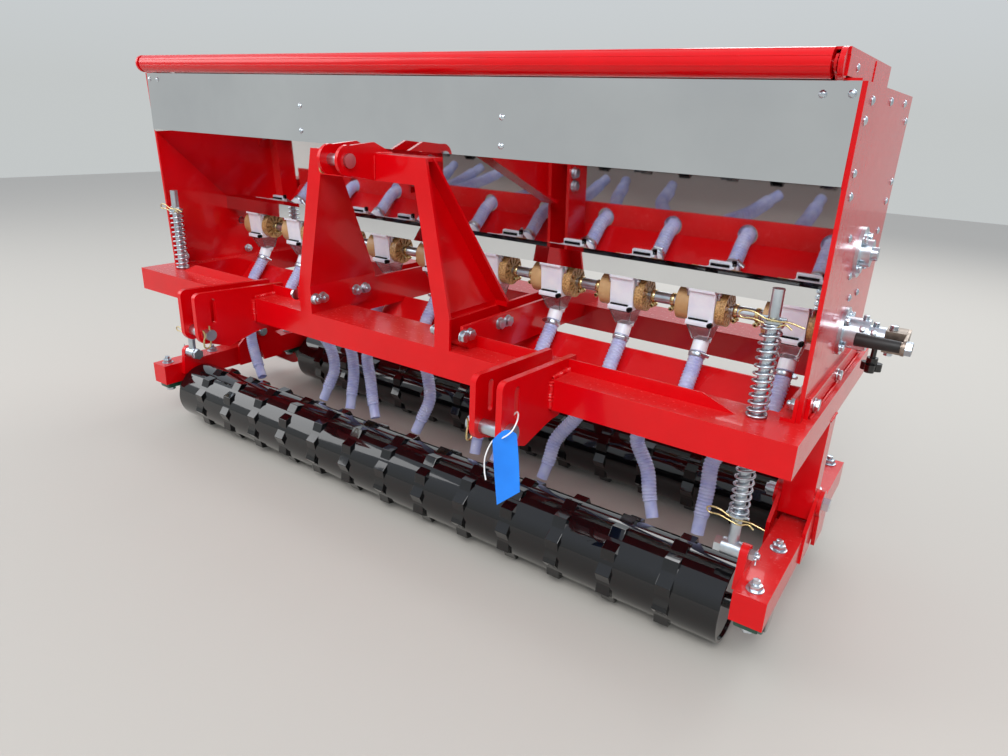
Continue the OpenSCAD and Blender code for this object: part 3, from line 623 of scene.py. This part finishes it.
def add_roller(name, y, left, node, body, turn):
    """A tube recessed at its ends, its shaft from the left on, and its rings turned in degrees."""
    tube = disc(TUBE_R, 2 * TUBE_END, -TUBE_END, sides=96, edge=1.2)
    for cutter in [disc(TUBE_R - TUBE_WALL, 2 * RECESS, s * TUBE_END - RECESS, sides=96, edge=0)
                   for s in BOTH]:
        use_modifier(tube, "BOOLEAN", object=cutter, operation="DIFFERENCE", solver="EXACT")
        bpy.data.objects.remove(cutter)
    shaft = disc(AXLE_R, AXLE_END - left, left, sides=40, edge=1)
    pieces = [tube, shaft]
    for piece in pieces:
        piece.data.transform(Matrix.Translation(at(0, y, AXLE_Z))
                             @ Matrix.Rotation(math.pi / 2, 4, "Y"))
    for i in range(RINGS):
        pieces.append(tooth_ring((i - RINGS // 2) * RING_STEP, y, turn + (i % 2) * 180 / TEETH))
    roller = fit(smooth(joined(pieces), 14), name, BLACK, body)
    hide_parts(node)


add_blocks()
add_roller("roller_front_toothed", FRONT_AXLE, -742, "front_roller", "front_roller_body", 13.1)
add_roller("roller_rear_toothed", REAR_AXLE, -814, "rear_roller", "rear_roller_body", 5)


# Fastenings: screws by their places in Y and Z on the side plates, in X and Z on the hopper

SIDE_SCREWS = ((112, 806), (262, 810), (402, 812), (89, 783), (91, 723), (99, 695), (160, 637),
               (231, 575), (271, 536), (453, 696), (440, 666), (419, 621), (338, 533), (455, 788))
HOPPER_SCREWS = ((689, 810), (721, 811), (-720, 812), (-689, 812), (-227, 771), (-227, 727),
                 (234, 768), (234, 726))
CASE_SCREWS = ((270, 641), (234, 590), (306, 590), (234, 430), (306, 430), (234, 280),
               (306, 280), (382, 164), (344, 104), (486, 57))
HOPPER_Y, CASE_X = 60.8, -830
bolts("side_screws", dome_bolt(5.4, 3.3),
      [((s * (PLATE_OUT + SEAT), y, z), (s, 0, 0)) for y, z in SIDE_SCREWS for s in BOTH])
bolts("hopper_screws", dome_bolt(4.7, 2.8),
      [((x, HOPPER_Y, z), (0, -1, 0)) for x, z in HOPPER_SCREWS])

# Bolts through the mast's feet and the rails
MAST_YS, MAST_Z = (10, 28, 117, 141), 424
MAST_IN, RAIL_OUT = 153.8, 206.2
bolts("mast_nuts", hex_bolt(across=17, height=8, washer=11, stub=5),
      [((s * MAST_IN, y, MAST_Z), (-s, 0, 0)) for y in MAST_YS for s in BOTH])
bolts("rail_bolts", hex_bolt(across=17, height=7, washer=11),
      [((s * RAIL_OUT, y, MAST_Z), (s, 0, 0)) for y in MAST_YS for s in BOTH])

# Bolts through the angles at the side plates' feet
FOOT_Z, FOOT_YS = 411, (282, 477)
bolts("foot_bolts", hex_bolt(across=16, height=6, washer=10),
      [((s * (PLATE_OUT + ANGLE + SEAT), y, FOOT_Z), (s, 0, 0))
       for s in BOTH for y in (124, *FOOT_YS)])
bolts("foot_nuts", hex_bolt(across=16, height=7, washer=10, stub=5),
      [((s * (PLATE_IN - SEAT), y, FOOT_Z), (-s, 0, 0)) for s in BOTH for y in FOOT_YS]
      + [((s * (PLATE_IN - ANGLE - SEAT), 96, 414), (-s, 0, 0)) for s in BOTH])

# Bolts down through the roller arms into the bearing blocks
ARM_BOLTS = [(s * ARM_X, y) for s in BOTH for y in (22, 147, 393, 518)]
bolts("arm_nuts", hex_bolt(across=18, height=8, washer=13, stub=7),
      [((x, y, ARM_TOP), (0, 0, 1)) for x, y in ARM_BOLTS])
bolts("block_bolts", hex_bolt(across=18, height=7, washer=13),
      [((x, y, BLOCK_LOW), (0, 0, -1)) for x, y in ARM_BOLTS])

# Four bolts round each shaft flange, and two set screws in each step of the seed-rate hub
FLANGE_X, FLANGE_R = 740.1, 30
FLANGE_RING = [(FLANGE_R * math.cos(math.radians(a)), FLANGE_R * math.sin(math.radians(a)))
               for a in (45, 135, 225, 315)]
bolts("flange_bolts", hex_bolt(across=10, height=4.5, washer=6.5),
      [((s * FLANGE_X, MID_Y + dy, z + dz), (s, 0, 0))
       for s in BOTH for z in (SHAFT_Z, AGITATOR_Z) for dy, dz in FLANGE_RING])
HUB_STEPS = ((765, 24), (780, 16))
bolts("hub_screws", hex_bolt(across=8, height=4, washer=4.5),
      [((x, MID_Y + y * radius, SHAFT_Z + z * radius), (0, y, z))
       for x, radius in HUB_STEPS for y, z in ((0, 1), (-0.866, 0.5))])
bolts("case_screws", dome_bolt(5, 3), [((CASE_X, y, z), (-1, 0, 0)) for y, z in CASE_SCREWS])

# The crank's clamp bolts, and the rubber grip and end nut on its handle
CRANK_Y = 234
bolts("crank_bolts", hex_bolt(across=11, height=5, washer=6),
      [((804, 266, 501), (0, 0, 1)), ((804, 262, 469), (0, 0, -1))])
grip = start("cone", vertices=40, radius1=10.0 * MM, radius2=8.5 * MM, depth=61 * MM)
use_modifier(settle(grip), "BEVEL", width=1.5 * MM, segments=3, limit_method="ANGLE")
grip.data.transform(Matrix.Translation(at(790, CRANK_Y, SHAFT_Z))
                    @ Matrix.Rotation(math.pi / 2, 4, "Y"))
fit(smooth(grip, 40), "crank_grip", GRIP)
bolts("crank_nut", hex_head(19, 9.4, 0), [((825.4, CRANK_Y, SHAFT_Z), (1, 0, 0))])

# Hairpin clips through the spring rods, beyond the springs' washers, their bends in X and Z
WASHER, CLIP_HOLE = 3, 2
HAIRPIN = ((42, -4), (22, 0), (8, -1), (-8, 0), (-24, 6), (-38, 6), (-43, 1), (-38, -4),
           (-24, -3), (-10, -6), (6, -9), (18, -4), (27, -9))
CLIP_OUT = WIRE + COIL_GAP + WASHER + CLIP_HOLE
clips = []
for x in (-ROD_X, ROD_X):
    for y in ROD_YS:
        for z in (FRAME_TOP + UPPER + CLIP_OUT, FRAME_LOW - LOWER - CLIP_OUT):
            clips.append(wire([(x + dx, y - 10.2, z + dz) for dx, dz in HAIRPIN], 1.35))
fit(joined(clips), "rod_clips", YELLOW_ZINC)

# Castle nuts' crowns and cotters on the rods' feet
CROWN_X, CROWN_Z = 713.5, 183
crowns = []
for s in BOTH:
    for y in ROD_YS:
        crowns.append(pin((s * CROWN_X, y, CROWN_Z), (s * 721, y, CROWN_Z), 4.8))
        for k in range(6):
            a = math.radians(60 * k + 30)
            dy, dz = 5.6 * math.cos(a), 5.6 * math.sin(a)
            crowns.append(pin((s * CROWN_X, y + dy, CROWN_Z + dz), (s * 718, y + dy, CROWN_Z + dz),
                              2.0, 10))
        crowns.append(wire([(s * 716, y + 1, 196), (s * 716, y + 1, 186), (s * 716, y, 176),
                            (s * 717, y - 4, 170)], 1.1))
fit(smooth(joined(crowns)), "castle_crowns", ZINC)


# Seed meters' trim, one set at each meter

SPOUT_WAY = (0, 0.469, 0.883)
TAB_XS = (-26, 26)
COUPLER_X, COUPLER_STEP = 50, 35.5
# A thin black bar above the clip, a black strip under it that paints the slot's shadow, and the
# screw beside it
at_meters([plate((-19, 238, 465.1), (14, 242.8, 467.7)),
           # Painted shadow: this black strip stands where the slot under the clip lies in shade
           plate((-19.5, 235.6, 455.5), (14.5, 238, 456.9)),
           pin((20, 240, 461), (20, 231.5, 461), 4.4),
           pin((20, 232, 461), (20, 230.4, 461), 3.2)],
          "meter_clip_bar_and_painted_shadow", BOLT_BLACK)
# The moulded clip, and the tabs at the housing's top corners with their screws
at_meters([plate((-22, 234.2, 457.6), (17, 236.5, 464.6)),
           plate((-29, 240, 514.8), (-22.2, 252, 518.3)),
           plate((22.2, 240, 514.8), (29, 252, 518.3))],
          "meter_lips", NYLON)
at_meters([pin((x, 246, 503), (x, 246, 514.7), 2.4) for x in TAB_XS]
          + [pin((x, 246, 509.5), (x, 246, 513.5), 4.4, 6) for x in TAB_XS],
          "meter_tab_screws", ZINC)

# Worm-drive clamps round the hoses' tops
band = stretch(start("torus", major_radius=14.3 * MM, minor_radius=0.9 * MM, major_segments=40,
                     minor_segments=8), (1, 1, 5))
housing = settle(start("cube", size=1, location=(15.8 * MM, 0, 0),
                       scale=(4.5 * MM, 11 * MM, 8 * MM)))
use_modifier(housing, "BEVEL", width=0.6 * MM, segments=2)
worm = settle(start("cylinder", radius=3.1 * MM, depth=17 * MM, location=(17 * MM, 2 * MM, 0),
                    rotation=(math.pi / 2, 0, 0)))
bolts("hose_clamps", smooth(joined([band, housing, worm])),
      [((meter_x(i), SPOUT_Y - 3, SPOUT_Z - 5.5), SPOUT_WAY) for i in METERS])

# Bolted clamps at both ends of the couplers between the meters
clamp_ring = settle(start("torus", major_radius=10.9 * MM, minor_radius=1 * MM, major_segments=32,
                          minor_segments=8, rotation=(0, math.pi / 2, 0)))
stretch(clamp_ring, (3.5, 1, 1))
clamp_ring.data.transform(Matrix.Translation(at(COUPLER_X, MID_Y, SHAFT_Z)))
clamp = [clamp_ring, plate((47, 266, 466), (53, 268, 475.5)),
         plate((47, 272, 466), (53, 274, 475.5)),
         pin((COUPLER_X, 259, 470), (COUPLER_X, 280, 470), 2.4),
         pin((COUPLER_X, 259, 470), (COUPLER_X, 262.5, 470), 4.6, 6),
         pin((COUPLER_X, 274.5, 470), (COUPLER_X, 278, 470), 4.6, 6)]
clamp += [twin(piece, Matrix.Translation(Vector((COUPLER_STEP * MM, 0, 0)))) for piece in clamp]
at_meters(clamp, "coupler_clamps", YELLOW_ZINC, "meter_rotor", count=len(METERS) - 1)


# Weld beads: both ends and the radius of each seam on the crank's side, and its mirror image

SEAMS = [((742, 102, 396.6), (742, 478, 396.6), 2.4),  # the side plate's angle
         ((FRAME_X + SEAT, 246, 345.4), (FRAME_X + SEAT, 294, 345.4), 2),  # the leg
         ((152, -0.6, 397), (186, -0.6, 397), 2),  # the mast's foot
         ((23.6, -1, 662), (23.6, -1, 700), 2),  # the top pin's ear, before and over the mast
         ((23.6, 2, 703.4), (23.6, 42, 703.4), 2)]
# The lower hitch plates, before, over and under the front beam
for x in (330.2, 387.8):
    SEAMS += [((x, -1.2, 348), (x, -1.2, 394), 5.5),
              ((x, 2, 397), (x, 76, 397), 5.5),
              ((x, 2, 345), (x, 46, 345), 5.5)]
# The roller arms' ears, across the arms' tops
SEAMS += [((709, y, 157), (750, y, 157), 2) for y in (203, 337)]
beads = [bead((s * a[0], *a[1:]), (s * b[0], *b[1:]), radius)
         for s in BOTH for a, b, radius in SEAMS]
fit(joined(beads), "weld_beads", RED)


# Pins' clips at the hitch, their bends in Y and Z, and the blank tag on its tie

LOWER_CLIP = ((-112, 362), (-112, 344), (-112, 326), (-118, 318), (-126, 322), (-126, 334),
              (-123, 344), (-126, 356))
TOP_CLIP = ((-58, 712), (-58, 693), (-58, 677), (-63, 671), (-69, 674), (-70, 684), (-68, 693),
            (-70, 704))
hitch_clips = [wire([(s * 323, y, z) for y, z in LOWER_CLIP], 1.7) for s in BOTH]
hitch_clips.append(wire([(-31, y, z) for y, z in TOP_CLIP], 1.6))
fit(joined(hitch_clips), "hitch_clips", YELLOW_ZINC)

# The tag is drawn to its four corners and curls a little
tag = start("grid", x_subdivisions=8, y_subdivisions=14, size=2)
corners = [Vector(corner) for corner in ((389, -137, 240), (425, -134, 273), (412, -130, 358),
                                         (374, -133, 338))]
for vertex in tag.data.vertices:
    u, v = (vertex.co.x + 1) / 2, (vertex.co.y + 1) / 2
    spot = corners[0].lerp(corners[1], u).lerp(corners[3].lerp(corners[2], u), v)
    spot.y += 2.5 * math.sin(3 * v) * (u - 0.3)
    spot.z += 11 * v * v * math.sin(math.pi * u)
    vertex.co = at(*spot)
use_modifier(tag, "SOLIDIFY", thickness=0.8 * MM)
fit(smooth(tag), "hang_tag", TAG_BLUE)
tie = wire([(384, -96, 368), (392, -100, 376), (402, -112, 378), (409, -126, 374),
            (410, -137, 366), (404, -140, 358), (396, -139, 351), (389, -131, 345),
            (373, -131, 336), (366, -138, 312), (367, -140, 290), (370, -140, 276)], 1.1)
fit(tie, "tag_tie", TIE)


# Lid: folds pressed along the rolled edge, and at each end a seam, a disc, a filler and a rivet

ROLL_R, ROLL_END, LID_END = 16.9, 698, 714.2
folds = []
for a in (0.5, 1.15, 1.8):
    y, z = LID_Y - ROLL_R * math.sin(a), LID_Z + ROLL_R * math.cos(a)
    folds.append(pin((-ROLL_END, y, z), (ROLL_END, y, z), 0.7, 8, 0))
folds += [bead((s * LID_END, 217, 827), (s * LID_END, 217, 857), 1.2) for s in BOTH]
folds += [pin((s * 705.6, LID_Y, LID_Z), (s * 711.8, LID_Y, LID_Z), 17, 40) for s in BOTH]
folds += [plate(*spread((s * 711.4, s * 714.3), (47, 117), (829.2, 852))) for s in BOTH]
fit(joined(folds), "lid_folds", RED, "hopper_lid")
bolts("lid_rivets", dome_bolt(4.6, 2.6), [((s * 714.1, 100, 841), (s, 0, 0)) for s in BOTH],
      "hopper_lid")


# Studio: a plain pale floor, three softboxes and an even sky

floor = start("plane", size=14, location=(0, 0, 0))
floor.name = "studio_floor"
floor_paint = blank("pale_studio_floor", Roughness=0.75, Base_Color=linear("bab5ad"))[0]
floor.data.materials.append(floor_paint)
add_softbox("key", (1.6, -3.2, 3.6), (2.6, 2.0), 140)
add_softbox("fill", (-3.4, -1.8, 2.4), (2.4, 2.4), 55)
add_softbox("back", (0.5, 3.4, 2.8), (3.4, 1.6), 70)
world = bpy.data.worlds.new("studio_world")
bpy.context.scene.world = world
world.use_nodes = True
tree = world.node_tree
around = put(tree, "TexCoord").outputs["Generated"]
height = put(tree, "SeparateXYZ", {"Vector": around}).outputs["Z"]
sky = two_tones(tree, height, "cdd1d1", "e9f1fc", 0.02, 0.55)
tree.links.new(sky, tree.nodes["Background"].inputs["Color"])
tree.nodes["Background"].inputs["Strength"].default_value = 0.9
bpy.context.scene.view_settings.view_transform = "Standard"
